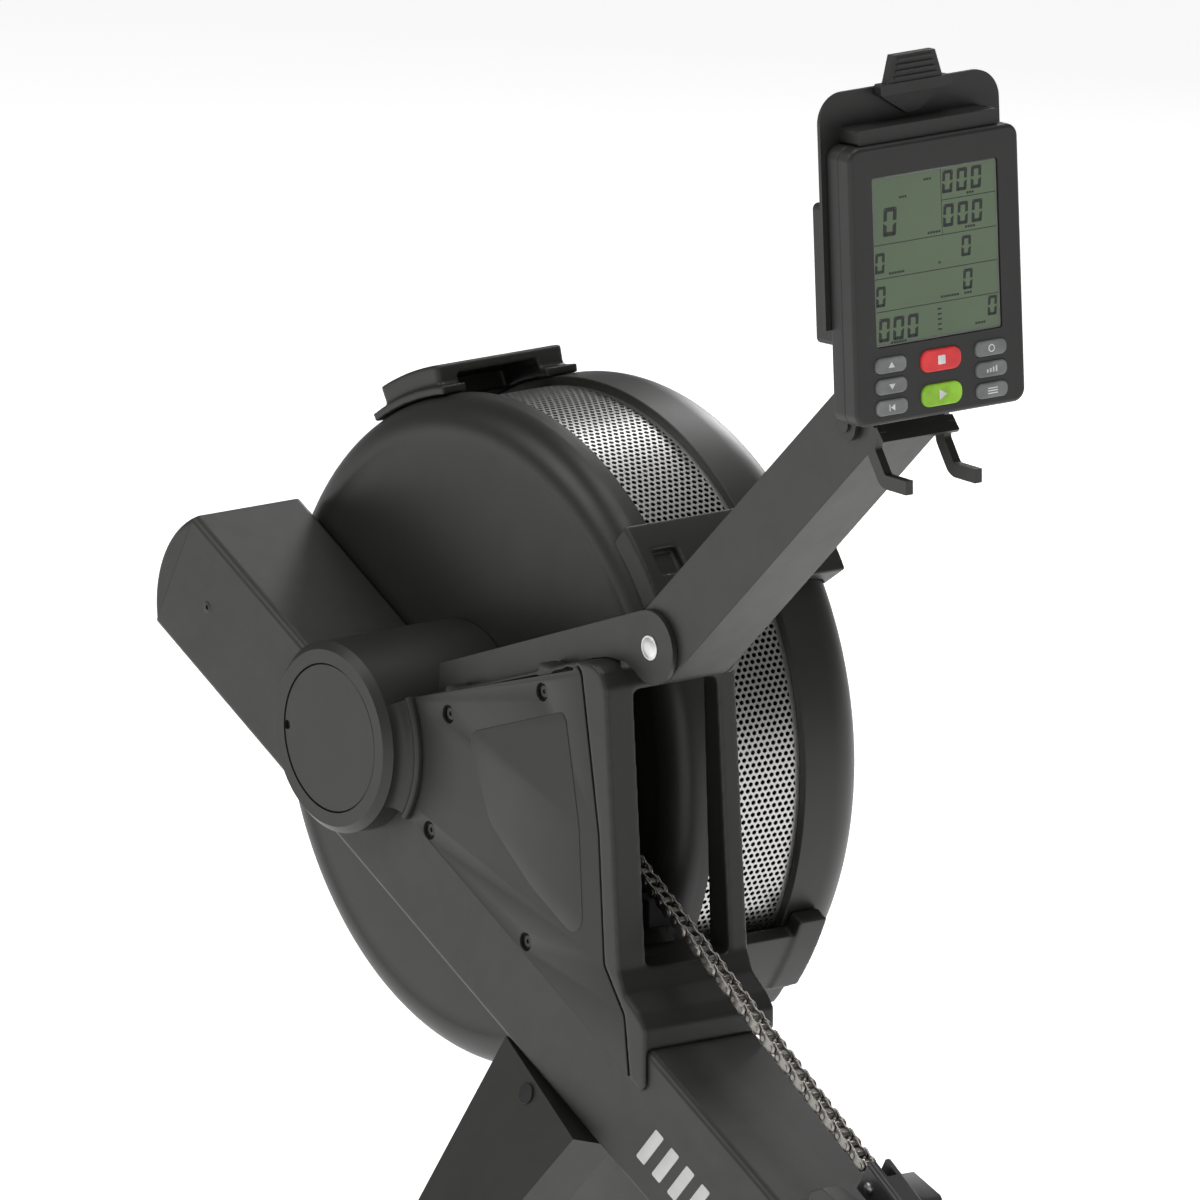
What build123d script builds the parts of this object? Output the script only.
from build123d import *

import os
from math import asin, atan2, cos, degrees, radians, sin, tan

# Air rowing machine. +X runs from the flywheel towards the seat's end, +Z is up and
# -Y is the rower's left. The origin is on the floor under the middle of the machine.

os.makedirs("parts", exist_ok=True)

# ---- driving dimensions, mm ------------------------------------------------------------
LENGTH = 2386.0                 # overall, beam end to rear foot
AXLE_Z = 600.0                  # flywheel axle above the floor
CAGE_R = 226.0                  # fan cage, outside of the rims
CAGE_DROP = 13.4                # cage centre below the axle
CAGE_BACK = 8.0                 # and behind it
FRONT_REACH = 224.677             # from the axle to the frontmost point
AXLE_X = FRONT_REACH - LENGTH / 2

BEAM_WIDTH = 90.0
BEAM_DEPTH = 92.0
BEAM_WALL = 2.5
BEAM_SLOPE = 28.0
BEAM_DROP = 34.5                # beam axis below the flywheel axle
BEAM_FRONT = -228.0             # along the beam, from below the axle
BEAM_REAR = 742.0
CAP_BULGE = 17.0
PLUG_LENGTH = 55.0

HUB_R = 64.5
HUB_WALL = 6.0
HUB_CAP_R = 50.0
HUB_FACE_Y = -67.0

FIT_GAP = 0.3                   # between neighbours that only meet
RUN_GAP = 0.05                  # radial clearance of a shaft in its hole
AXLE_R = 8.0
BEARING_R = 17.5

COVER_Y = BEAM_WIDTH / 2        # inner face of the chain cover
COVER_THICK = 3.0
CASE_TOP_SLOPE = 18.3
CASE_RIGHT_Y = 59.0
ARM_SLOPE = 42.0
ARM_SIZE = 50.0
ARM_LENGTH = 312.0
ARM_PIVOT = (302.0, 114.0)
BRACKET_THICK = 4.0

BAND_LEFT_Y = 77.0
BAND_RIGHT_Y = 151.0
BAND_R = 220.0
COVER_LEFT_Y = 45.4
COVER_RIGHT_Y = 209.0
SHELL = 3.0

CHAIN_SLOPE = 31.62             # of the straight run, down to the handle
CHAIN_PASS = (240.0, -41.0)     # a point on the straight run
CHAIN_HEIGHT = 8.6
CHAIN_WIDTH = 11.0
CHAIN_GAP = 5.2                 # clear width between the side plates
SPROCKET_PITCH_R = 21.4         # 14 teeth on a 9.525 mm pitch
SPROCKET_TEETH = 14
TOOTH_WIDTH = 4.4
IDLER_TANGENT_X = 127.0
BLOCK_ALONG = 625.0             # travelling pulley, along the beam

HANDLE_AT = 569.0               # handle bar's X from the axle, at rest
HANDLE_BEND = 12.0              # of each grip, towards the rower
HANDLE_BAR_R = 12.5
GRIP_R = 16.5

RAIL_TOP = 270.0                # above the floor
RAIL_DEPTH = 60.0
RAIL_BODY = 50.0
RAIL_FLANGE = 84.0
RAIL_FLANGE_THICK = 8.0
RAIL_FRONT = 690.0              # from the axle
RAIL_REAR = 2120.0
SEAT_AT = 1400.0
ROLLER_R = 18.0
ROLLER_SPACING = 140.0

FOOT_Z = 28.0                   # centre of the foot tubes above the floor
FOOT_TUBE_R = 20.0
FOOT_HALF_WIDTH = 300.0
REAR_HALF_WIDTH = 170.0
LEG_SPLAY = 16.0
LEG_THICK = 36.0

PLATE_SLOPE = 42.0
PLATE_AT = (668.0, -390.0)
PLATE_LENGTH = 280.0
PLATE_WIDTH = 105.0
PLATE_THICK = 6.0
PLATE_Y = 128.0

MONITOR_AT = (575.0, 412.0)
MONITOR_TILT = 3.0
MONITOR_WIDTH = 139.0
MONITOR_HEIGHT = 185.0
MONITOR_DEPTH = 25.0
TILT_AT = 285.0                 # tilt pivot, along the arm


# ---- frames ---------------------------------------------------------------------------
def side(y):
    """Side view plane at y, with its origin on the flywheel axle and facing -Y."""
    return Plane(origin=(AXLE_X, y, AXLE_Z), x_dir=(1, 0, 0), z_dir=(0, -1, 0))


def cage_side(y):
    """Side view plane at y, with its origin on the fan cage's own centre."""
    origin = (AXLE_X + CAGE_BACK, y, AXLE_Z - CAGE_DROP)
    return Plane(origin=origin, x_dir=(1, 0, 0), z_dir=(0, -1, 0))


BEAM_DIR = Vector(cos(radians(BEAM_SLOPE)), 0, -sin(radians(BEAM_SLOPE)))
BEAM_UP = Vector(sin(radians(BEAM_SLOPE)), 0, cos(radians(BEAM_SLOPE)))


def beam_point(along, up, y=0.0):
    """A point given along the beam, square to it and across it."""
    start = Vector(AXLE_X, y, AXLE_Z - BEAM_DROP)
    return start + BEAM_DIR * along + BEAM_UP * up


def beam_side(y):
    """Side view plane turned to lie along the beam."""
    return Plane(origin=beam_point(0, 0, y), x_dir=BEAM_DIR, z_dir=(0, -1, 0))


def beam_section(along):
    """Plane square to the beam, facing its rear end."""
    return Plane(origin=beam_point(along, 0), x_dir=(0, 1, 0), z_dir=BEAM_DIR)


def beam_deck(along, up, y=0.0):
    """Plane parallel to the beam's top face."""
    return Plane(origin=beam_point(along, up, y), x_dir=BEAM_DIR, z_dir=BEAM_UP)


def beam_top(x):
    """Height of the beam's top face over the axle, at x behind the axle."""
    rise = BEAM_DEPTH / 2 / cos(radians(BEAM_SLOPE)) - BEAM_DROP
    return rise - x * tan(radians(BEAM_SLOPE))


def arm_side(y):
    """Side view plane along the monitor arm, with its origin on the arm's pivot."""
    turn = radians(ARM_SLOPE)
    pivot = (AXLE_X + ARM_PIVOT[0], y, AXLE_Z + ARM_PIVOT[1])
    return Plane(origin=pivot, x_dir=(cos(turn), 0, sin(turn)), z_dir=(0, -1, 0))


def monitor_face(depth):
    """Plane parallel to the monitor's face, depth behind it; x is to the rower's right."""
    turn = radians(MONITOR_TILT)
    normal = Vector(cos(turn), 0, sin(turn))
    middle = Vector(AXLE_X + MONITOR_AT[0], 0, AXLE_Z + MONITOR_AT[1])
    return Plane(origin=middle - normal * depth, x_dir=(0, 1, 0), z_dir=normal)


def foot_plane(y, lift):
    """Plane on a foot plate, lift above its face; x points to the toes, y to +Y."""
    turn = radians(PLATE_SLOPE)
    normal = Vector(sin(turn), 0, cos(turn))
    middle = Vector(AXLE_X + PLATE_AT[0], y, AXLE_Z + PLATE_AT[1])
    return Plane(origin=middle + normal * lift, x_dir=(-cos(turn), 0, sin(turn)), z_dir=normal)


# ---- sketch helpers --------------------------------------------------------------------
def outline(*points):
    """Closed straight-sided face through the points."""
    with BuildSketch(mode=Mode.PRIVATE) as face:
        with BuildLine():
            Polyline(*points, close=True)
        make_face()
    return face.sketch


def ring_sector(r_in, r_out, start, end):
    """Part of a flat ring, between two angles in degrees."""
    with BuildSketch(mode=Mode.PRIVATE) as face:
        with BuildLine():
            outer = CenterArc((0, 0), r_out, start, end - start)
            inner = CenterArc((0, 0), r_in, start, end - start)
            Line(outer @ 0, inner @ 0)
            Line(outer @ 1, inner @ 1)
        make_face()
    return face.sketch


def sprocket(teeth, pitch_r, bore):
    """Toothed wheel face: a disc with a roller's hollow between each two teeth."""
    with BuildSketch(mode=Mode.PRIVATE) as face:
        Circle(pitch_r + 2.2)
        with PolarLocations(pitch_r, teeth):
            Circle(2.7, mode=Mode.SUBTRACT)
        Circle(bore, mode=Mode.SUBTRACT)
    return face.sketch


# ---- main beam -------------------------------------------------------------------------
AXLE_ALONG = -BEAM_DROP * sin(radians(BEAM_SLOPE))
AXLE_UP = BEAM_DROP * cos(radians(BEAM_SLOPE))
CHAIN_IN_UP = AXLE_UP - SPROCKET_PITCH_R
CHAIN_BACK_UP = CHAIN_IN_UP - 2 * SPROCKET_PITCH_R
BLOCK_UP = CHAIN_IN_UP - SPROCKET_PITCH_R
ANCHOR_ALONG = 40.0
BUNGEE_PULLEY_ALONG = 712.0
BUNGEE_PULLEY_R = 14.0
BUNGEE_R = 4.0
BUNGEE_ANCHOR_ALONG = 60.0

chain_turn = radians(CHAIN_SLOPE)
CHAIN_DIR = Vector(cos(chain_turn), 0, -sin(chain_turn))
IDLER_TANGENT_Z = CHAIN_PASS[1] + (CHAIN_PASS[0] - IDLER_TANGENT_X) * tan(chain_turn)
IDLER = (
    IDLER_TANGENT_X - SPROCKET_PITCH_R * sin(chain_turn),
    IDLER_TANGENT_Z - SPROCKET_PITCH_R * cos(chain_turn),
)
COVER_SCREWS = [(106.0, 34.0), (209.0, 69.0), (85.0, -49.0), (191.0, -104.0)]
CAP_SCREW = (-164.7, 54.2)
BRACKET_BOLTS = [(594.0, -330.0), (636.0, -380.0)]
LEG_BOLT = (199.0, -205.0)
REAR_ROD = (679.0, -422.0)
FRONT_ROD = (605.3, -354.9)
ROD_R = 8.0
SCREW_R = 2.9
BOLT_R = 4.0

with BuildPart() as main_beam:
    with BuildSketch(beam_section(BEAM_FRONT)):
        RectangleRounded(BEAM_WIDTH, BEAM_DEPTH, 5)
        RectangleRounded(BEAM_WIDTH - 2 * BEAM_WALL, BEAM_DEPTH - 2 * BEAM_WALL, 2.5, mode=Mode.SUBTRACT)
    extrude(amount=BEAM_REAR - BEAM_FRONT)
    # axle hole, then the bearing sleeve in the right wall
    with BuildSketch(side(BEAM_WIDTH / 2)):
        Circle(20)
    extrude(amount=BEAM_WIDTH, mode=Mode.SUBTRACT)
    with BuildSketch(side(BEAM_WIDTH / 2)):
        Circle(24)
        Circle(BEARING_R, mode=Mode.SUBTRACT)
    extrude(amount=20)
    # roof slot over the drive sprocket
    with BuildSketch(beam_deck(AXLE_ALONG + 2, BEAM_DEPTH / 2)):
        SlotOverall(62, 34)
    extrude(amount=-8, mode=Mode.SUBTRACT)
    # screw holes under the chain cover and at the end cap
    with BuildSketch(side(BEAM_WIDTH / 2)):
        with Locations(COVER_SCREWS[2], COVER_SCREWS[3], CAP_SCREW):
            Circle(SCREW_R)
        with Locations(*BRACKET_BOLTS):
            Circle(BOLT_R)
        with Locations(FRONT_ROD):
            Circle(ROD_R)
    extrude(amount=BEAM_WIDTH, mode=Mode.SUBTRACT)
    # idler cheeks on the roof, with the idler's pin
    with BuildSketch(side(13)):
        add(outline((80, beam_top(80) - 1), (136, beam_top(136) - 1), (118, 22), (96, 22)))
        with Locations(IDLER):
            Circle(12)
    extrude(amount=3)
    with BuildSketch(side(-10)):
        add(outline((80, beam_top(80) - 1), (136, beam_top(136) - 1), (118, 22), (96, 22)))
        with Locations(IDLER):
            Circle(12)
    extrude(amount=3)
    with BuildSketch(side(12)):
        with Locations(IDLER):
            Circle(5)
    extrude(amount=24)
    # chain anchor across the beam, bungee anchor and bungee pulley pin down through it
    with BuildSketch(beam_side(BEAM_WIDTH / 2 - 1)):
        with Locations((ANCHOR_ALONG, CHAIN_BACK_UP)):
            Circle(3)
    extrude(amount=BEAM_WIDTH - 2)
    with BuildSketch(beam_deck(0, BEAM_DEPTH / 2 - 1)):
        with Locations(
            (BUNGEE_ANCHOR_ALONG - 8, 2 * BUNGEE_PULLEY_R),
            (BUNGEE_PULLEY_ALONG, BUNGEE_PULLEY_R),
        ):
            Circle(4)
    extrude(amount=2 - BEAM_DEPTH)
main_beam.part.label = "main_beam"
export_step(main_beam.part, "parts/main_beam.step")

with BuildPart() as beam_end_cap:
    with BuildSketch(beam_side(BEAM_WIDTH / 2)):
        with BuildLine():
            ThreePointArc(
                (BEAM_FRONT - 0.2, BEAM_DEPTH / 2),
                (BEAM_FRONT - CAP_BULGE, 0),
                (BEAM_FRONT - 0.2, -BEAM_DEPTH / 2),
            )
            Line((BEAM_FRONT - 0.2, -BEAM_DEPTH / 2), (BEAM_FRONT - 0.2, BEAM_DEPTH / 2))
        make_face()
    extrude(amount=BEAM_WIDTH)
    fillet(beam_end_cap.edges().filter_by(GeomType.CIRCLE), 5)
    with BuildSketch(beam_section(BEAM_FRONT - 1)):
        RectangleRounded(BEAM_WIDTH - 2 * BEAM_WALL - 0.4, BEAM_DEPTH - 2 * BEAM_WALL - 0.4, 2.3)
    extrude(amount=PLUG_LENGTH)
    with BuildSketch(beam_section(BEAM_FRONT - 1 + PLUG_LENGTH)):
        Rectangle(BEAM_WIDTH - 2 * BEAM_WALL - 8, BEAM_DEPTH - 2 * BEAM_WALL - 8)
    extrude(amount=5 - PLUG_LENGTH, mode=Mode.SUBTRACT)
    with BuildSketch(side(BEAM_WIDTH / 2)):
        with Locations(CAP_SCREW):
            Circle(SCREW_R)
    extrude(amount=BEAM_WIDTH, mode=Mode.SUBTRACT)
beam_end_cap.part.label = "beam_end_cap"
export_step(beam_end_cap.part, "parts/beam_end_cap.step")

# ---- hub over the axle's left end ------------------------------------------------------
with BuildPart() as hub_housing:
    with BuildSketch(side(BEAM_WIDTH / 2 - 0.2)):
        Circle(HUB_R)
    extrude(amount=BEAM_WIDTH / 2 - 0.2 - HUB_FACE_Y)
    chamfer(hub_housing.faces().sort_by(Axis.Y)[0].edges(), 5)
    with BuildSketch(side(HUB_FACE_Y + 6)):
        Circle(HUB_CAP_R + FIT_GAP)
    extrude(amount=6, mode=Mode.SUBTRACT)
    with BuildSketch(side(BEAM_WIDTH / 2)):
        Circle(HUB_R - HUB_WALL)
    extrude(amount=BEAM_WIDTH / 2 + 57, mode=Mode.SUBTRACT)
    with BuildSketch(side(-45.5)):
        Circle(24)
    extrude(amount=12)
    with BuildSketch(side(-45)):
        Circle(BEARING_R)
    extrude(amount=12, mode=Mode.SUBTRACT)
    # the beam passes through, and the chain comes in from behind
    with BuildSketch(beam_section(-120)):
        Rectangle(BEAM_WIDTH + 0.4, BEAM_DEPTH + 0.4)
    extrude(amount=240, mode=Mode.SUBTRACT)
    with BuildSketch(side(14)):
        with Locations((62, 28)):
            Rectangle(30, 26)
    extrude(amount=28, mode=Mode.SUBTRACT)
hub_housing.part.label = "hub_housing"
export_step(hub_housing.part, "parts/hub_housing.step")

with BuildPart() as hub_cap:
    with BuildSketch(side(HUB_FACE_Y + 5.8)):
        Circle(HUB_CAP_R)
    extrude(amount=5.4)
    chamfer(hub_cap.faces().sort_by(Axis.Y)[0].edges(), 1)
    # finger notch at the front of the rim
    with BuildSketch(side(HUB_FACE_Y + 3)):
        with Locations((-HUB_CAP_R + 3, 0)):
            Circle(3.2)
    extrude(amount=4, mode=Mode.SUBTRACT)
hub_cap.part.label = "hub_cap"
export_step(hub_cap.part, "parts/hub_cap.step")

with BuildPart() as axle_bearings:
    for face_y in (-45.6, 37.0):
        with BuildSketch(side(face_y)):
            Circle(BEARING_R - 0.02)
            Circle(AXLE_R + RUN_GAP, mode=Mode.SUBTRACT)
        extrude(amount=11)
axle_bearings.part.label = "axle_bearings"
export_step(axle_bearings.part, "parts/axle_bearings.step")

# ---- chain cover and chain case --------------------------------------------------------
top_turn = radians(CASE_TOP_SLOPE)


def case_top(x):
    """Height of the chain case's roof over the axle, at x behind the axle."""
    return 37 + (x - 65) * tan(top_turn)


HUB_CLEAR_R = 78.0
arc_high = 29.3
arc_low = -35.5
with BuildPart() as chain_cover_plate:
    with BuildSketch(side(-COVER_Y - 0.1)):
        with BuildLine():
            front = CenterArc((0, 0), HUB_CLEAR_R, arc_high, arc_low - arc_high)
            rim = Polyline(
                front @ 0, (242, 95), (251, 91), (270, -15), (276, -103),
                (298, -133), (303, -173), front @ 1,
            )
        make_face()
        with Locations(*COVER_SCREWS):
            Circle(6.2, mode=Mode.SUBTRACT)
    extrude(amount=COVER_THICK)
chain_cover_plate.part.label = "chain_cover_plate"
export_step(chain_cover_plate.part, "parts/chain_cover_plate.step")

OPENING = (-25.0, 44.0, -105.0, 80.0)      # y from, y to, z from, z to
POST_FRONT = 262.0
REAR_FACE = (
    (256, 98.5), (266, 98), (274, 94), (279, 84), (293, -104), (299, -118), (314, -129),
    (322, -138),
)
case_outer = outline(
    (238, case_top(238)), *REAR_FACE, (322, beam_top(322) + 0.2), (238, beam_top(238) + 0.2),
)
with BuildPart() as chain_case:
    # rear frame, full width
    with BuildSketch(side(CASE_RIGHT_Y)):
        add(case_outer)
    extrude(amount=CASE_RIGHT_Y + COVER_Y + 0.1)
    # left strip that the cover meets, running down the beam's side as a lug
    with BuildSketch(side(-COVER_Y - 0.1)):
        add(
            outline(
                (244, 96), *REAR_FACE, (322, -176), (316, -182), (304, -176), (298.4, -133),
                (276.4, -103), (270.4, -15), (251.4, 91),
            )
        )
    extrude(amount=COVER_THICK)
    # roof forward to the hub
    with BuildSketch(side(43)):
        add(
            outline(
                (68, case_top(68)), (240, case_top(240)), (240, case_top(240) - 4),
                (68, case_top(68) - 4),
            )
        )
    extrude(amount=43 + COVER_Y + 0.1)
    # hollow of the rear frame
    with BuildSketch(side(CASE_RIGHT_Y + 1)):
        add(outline((230, 90), (252, 88), (POST_FRONT, 84), (POST_FRONT + 8, -106), (230, -106)))
    extrude(amount=CASE_RIGHT_Y + 1 + COVER_Y + 0.1, mode=Mode.SUBTRACT)
    # rear opening that the chain runs out of
    opening_mid_y = (OPENING[0] + OPENING[1]) / 2
    opening_mid_z = (OPENING[2] + OPENING[3]) / 2
    with BuildSketch(Plane.YZ.offset(AXLE_X + 230)):
        with Locations((opening_mid_y, AXLE_Z + opening_mid_z)):
            RectangleRounded(OPENING[1] - OPENING[0], OPENING[3] - OPENING[2], 5)
    extrude(amount=100, mode=Mode.SUBTRACT)
    # lighten the sill from below
    with BuildSketch(side(CASE_RIGHT_Y - 4)):
        add(outline((242, -112), (286, -112), (310, -133), (316, -140), (316, -160), (242, -130)))
    extrude(amount=CASE_RIGHT_Y + COVER_Y - 8, mode=Mode.SUBTRACT)
    # screw ribs under the roof
    with BuildSketch(side(-30)):
        for x, z in COVER_SCREWS[:2]:
            with Locations((x, z + 5)):
                Rectangle(16, 26)
    extrude(amount=COVER_Y - 30)
    with BuildSketch(side(-20)):
        with Locations(*COVER_SCREWS[:2]):
            Circle(SCREW_R)
    extrude(amount=40, mode=Mode.SUBTRACT)
chain_case.part.label = "chain_case"
export_step(chain_case.part, "parts/chain_case.step")

with BuildPart() as cover_screws:
    with BuildSketch(side(-COVER_Y - 0.1)):
        with Locations(*COVER_SCREWS):
            Circle(5.2)
    extrude(amount=1.6)
    with BuildSketch(side(-COVER_Y - 0.1)):
        with Locations(*COVER_SCREWS):
            Circle(SCREW_R)
    extrude(amount=-9)
    # the right head is thin, to clear the fan cover
    for y_sign, head in ((-1, 1.6), (1, 0.2)):
        with BuildSketch(side(y_sign * (COVER_Y + 0.1))):
            with Locations(CAP_SCREW):
                Circle(5.2)
        extrude(amount=-y_sign * head)
        with BuildSketch(side(y_sign * (COVER_Y + 0.1))):
            with Locations(CAP_SCREW):
                Circle(SCREW_R)
        extrude(amount=y_sign * 7)
cover_screws.part.label = "cover_screws"
export_step(cover_screws.part, "parts/cover_screws.step")

# ---- fan cage --------------------------------------------------------------------------
cage_centre = (AXLE_X + CAGE_BACK, 0, AXLE_Z - CAGE_DROP)
cage_axis = Axis(cage_centre, (0, 1, 0))
cage_profile = Plane(origin=cage_centre, x_dir=(1, 0, 0), z_dir=(0, 0, 1))
DISH_R = 110.0                             # flat middle of the left cover
ROUND_R = 200.0                            # where its rounded rim starts
ROUND_Y = 46.6
RIM_Y = 69.0                               # where the rim turns parallel to the axle

with BuildPart() as left_fan_cover:
    with BuildSketch(cage_profile):
        with BuildLine():
            Line((0, COVER_LEFT_Y), (DISH_R, COVER_LEFT_Y))
            TangentArc((DISH_R, COVER_LEFT_Y), (ROUND_R, ROUND_Y), tangent=(1, 0))
            ThreePointArc((ROUND_R, ROUND_Y), (219.5, 52.6), (CAGE_R, RIM_Y))
            Polyline(
                (CAGE_R, RIM_Y), (CAGE_R, BAND_LEFT_Y), (BAND_R - 4, BAND_LEFT_Y),
                (BAND_R - 4, BAND_LEFT_Y - SHELL), (CAGE_R - SHELL, BAND_LEFT_Y - SHELL),
                (CAGE_R - SHELL, RIM_Y),
            )
            ThreePointArc((CAGE_R - SHELL, RIM_Y), (217.1, 54.8), (ROUND_R, ROUND_Y + SHELL))
            TangentArc((DISH_R, COVER_LEFT_Y + SHELL), (ROUND_R, ROUND_Y + SHELL), tangent=(1, 0))
            Polyline((DISH_R, COVER_LEFT_Y + SHELL), (0, COVER_LEFT_Y + SHELL), (0, COVER_LEFT_Y))
        make_face()
    revolve(axis=cage_axis)
    with BuildSketch(side(COVER_LEFT_Y + 10)):
        Circle(28)
    extrude(amount=20, mode=Mode.SUBTRACT)
left_fan_cover.part.label = "left_fan_cover"
export_step(left_fan_cover.part, "parts/left_fan_cover.step")

RIGHT_FLAT = 175.0
RIGHT_ROUND = COVER_RIGHT_Y - RIGHT_FLAT
with BuildPart() as right_fan_cover:
    with BuildSketch(cage_profile):
        with BuildLine():
            Polyline(
                (0, COVER_RIGHT_Y - 4), (46, COVER_RIGHT_Y - 4), (52, COVER_RIGHT_Y),
                (CAGE_R - RIGHT_ROUND, COVER_RIGHT_Y),
            )
            CenterArc((CAGE_R - RIGHT_ROUND, RIGHT_FLAT), RIGHT_ROUND, 90, -90)
            Polyline(
                (CAGE_R, RIGHT_FLAT), (CAGE_R, BAND_RIGHT_Y), (BAND_R - 4, BAND_RIGHT_Y),
                (BAND_R - 4, BAND_RIGHT_Y + SHELL), (CAGE_R - SHELL, BAND_RIGHT_Y + SHELL),
                (CAGE_R - SHELL, RIGHT_FLAT),
            )
            CenterArc((CAGE_R - RIGHT_ROUND, RIGHT_FLAT), RIGHT_ROUND - SHELL, 0, 90)
            Polyline(
                (CAGE_R - RIGHT_ROUND, COVER_RIGHT_Y - SHELL), (53, COVER_RIGHT_Y - SHELL),
                (47, COVER_RIGHT_Y - 4 - SHELL), (0, COVER_RIGHT_Y - 4 - SHELL), (0, COVER_RIGHT_Y - 4),
            )
        make_face()
    revolve(axis=cage_axis)
right_fan_cover.part.label = "right_fan_cover"
export_step(right_fan_cover.part, "parts/right_fan_cover.step")

with BuildPart() as perforated_band:
    with BuildSketch(cage_side(BAND_RIGHT_Y - 0.2)):
        Circle(BAND_R)
        Circle(BAND_R - 1.5, mode=Mode.SUBTRACT)
    extrude(amount=BAND_RIGHT_Y - BAND_LEFT_Y - 0.4)
perforated_band.part.label = "perforated_band"
export_step(perforated_band.part, "parts/perforated_band.step")

# the cage's outside with a little air, which the brackets are cut to
SEAT_R = CAGE_R + 0.2
with BuildPart() as cage_space:
    with BuildSketch(cage_profile):
        with BuildLine():
            Line((0, COVER_LEFT_Y - 0.2), (ROUND_R - 4, ROUND_Y - 1.4))
            ThreePointArc((ROUND_R - 4, ROUND_Y - 1.4), (219.7, 52.4), (SEAT_R, RIM_Y))
            Line((SEAT_R, RIM_Y), (SEAT_R, RIGHT_FLAT))
            CenterArc((SEAT_R - RIGHT_ROUND, RIGHT_FLAT), RIGHT_ROUND, 0, 90)
            Polyline(
                (SEAT_R - RIGHT_ROUND, COVER_RIGHT_Y), (SEAT_R - RIGHT_ROUND, COVER_RIGHT_Y + 0.2),
                (0, COVER_RIGHT_Y + 0.2), (0, COVER_LEFT_Y - 0.2),
            )
        make_face()
    revolve(axis=cage_axis)

with BuildPart() as top_handle_bracket:
    with BuildSketch(cage_side(172)):
        add(ring_sector(SEAT_R, SEAT_R + 6, 103, 124))
    extrude(amount=112)
    with BuildSketch(cage_side(168)):
        add(ring_sector(SEAT_R, SEAT_R + 20, 105, 121))
    extrude(amount=104)
    fillet(top_handle_bracket.faces().sort_by(Axis.Z)[-1].edges(), 3)
    # finger pocket under the grip bar, open to the rear
    with BuildSketch(cage_side(146)):
        add(ring_sector(SEAT_R - 1, SEAT_R + 13, 95, 115))
    extrude(amount=66, mode=Mode.SUBTRACT)
top_handle_bracket.part.label = "top_handle_bracket"
export_step(top_handle_bracket.part, "parts/top_handle_bracket.step")

with BuildPart() as upper_cage_bracket:
    with BuildSketch(cage_side(206)):
        add(ring_sector(204, SEAT_R + 10, 33, 47))
    extrude(amount=156)
    # square pocket in the left end
    with BuildSketch(cage_side(82)):
        add(ring_sector(SEAT_R + 4, SEAT_R + 12, 37.5, 42))
    extrude(amount=20, mode=Mode.SUBTRACT)
    add(cage_space.part, mode=Mode.SUBTRACT)
upper_cage_bracket.part.label = "upper_cage_bracket"
export_step(upper_cage_bracket.part, "parts/upper_cage_bracket.step")

with BuildPart() as lower_cage_bracket:
    with BuildSketch(cage_side(170)):
        add(ring_sector(SEAT_R, SEAT_R + 11, -45, -28))
    extrude(amount=170 - CASE_RIGHT_Y - 0.3)
    # raised lug at the right end
    with BuildSketch(cage_side(177)):
        add(ring_sector(SEAT_R - 6, SEAT_R + 13, -40, -25))
    extrude(amount=23)
    with BuildSketch(cage_side(76)):
        add(ring_sector(SEAT_R, SEAT_R + 56, -40, -28))
    extrude(amount=76 - CASE_RIGHT_Y - 0.3)
    add(cage_space.part, mode=Mode.SUBTRACT)
lower_cage_bracket.part.label = "lower_cage_bracket"
export_step(lower_cage_bracket.part, "parts/lower_cage_bracket.step")

# ---- flywheel and drive ----------------------------------------------------------------
FAN_R = 198.0
FAN_LEFT_Y = 72.0
FAN_RIGHT_Y = 158.0
FAN_MID_Y = 115.0
BLADES = 18
with BuildPart() as flywheel_fan:
    with BuildSketch(side(FAN_MID_Y + 3)):
        Circle(FAN_R - 14)
        Circle(AXLE_R, mode=Mode.SUBTRACT)
    extrude(amount=6)
    with BuildSketch(side(FAN_MID_Y + 24)):
        Circle(26)
        Circle(AXLE_R, mode=Mode.SUBTRACT)
    extrude(amount=48)
    with BuildSketch(side(FAN_MID_Y + 9)):
        Circle(120)
        Circle(98, mode=Mode.SUBTRACT)
    extrude(amount=18)
    with BuildSketch(side(FAN_RIGHT_Y)):
        with PolarLocations((FAN_R + 118) / 2, BLADES):
            Rectangle(FAN_R - 118, 2.5)
    extrude(amount=FAN_RIGHT_Y - FAN_LEFT_Y)
flywheel_fan.part.label = "flywheel_fan"
export_step(flywheel_fan.part, "parts/flywheel_fan.step")

with BuildPart() as flywheel_axle:
    with BuildSketch(side(150)):
        Circle(AXLE_R)
    extrude(amount=150 + 57)
    with BuildSketch(side(148)):
        RegularPolygon(14, 6)
    extrude(amount=8)
flywheel_axle.part.label = "flywheel_axle"
export_step(flywheel_axle.part, "parts/flywheel_axle.step")

with BuildPart() as drive_sprocket:
    with BuildSketch(side(TOOTH_WIDTH / 2)):
        add(sprocket(SPROCKET_TEETH, SPROCKET_PITCH_R, AXLE_R + RUN_GAP))
    extrude(amount=TOOTH_WIDTH)
    with BuildSketch(side(14)):
        Circle(14.5)
        Circle(AXLE_R + RUN_GAP, mode=Mode.SUBTRACT)
    extrude(amount=28)
drive_sprocket.part.label = "drive_sprocket"
export_step(drive_sprocket.part, "parts/drive_sprocket.step")

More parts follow.
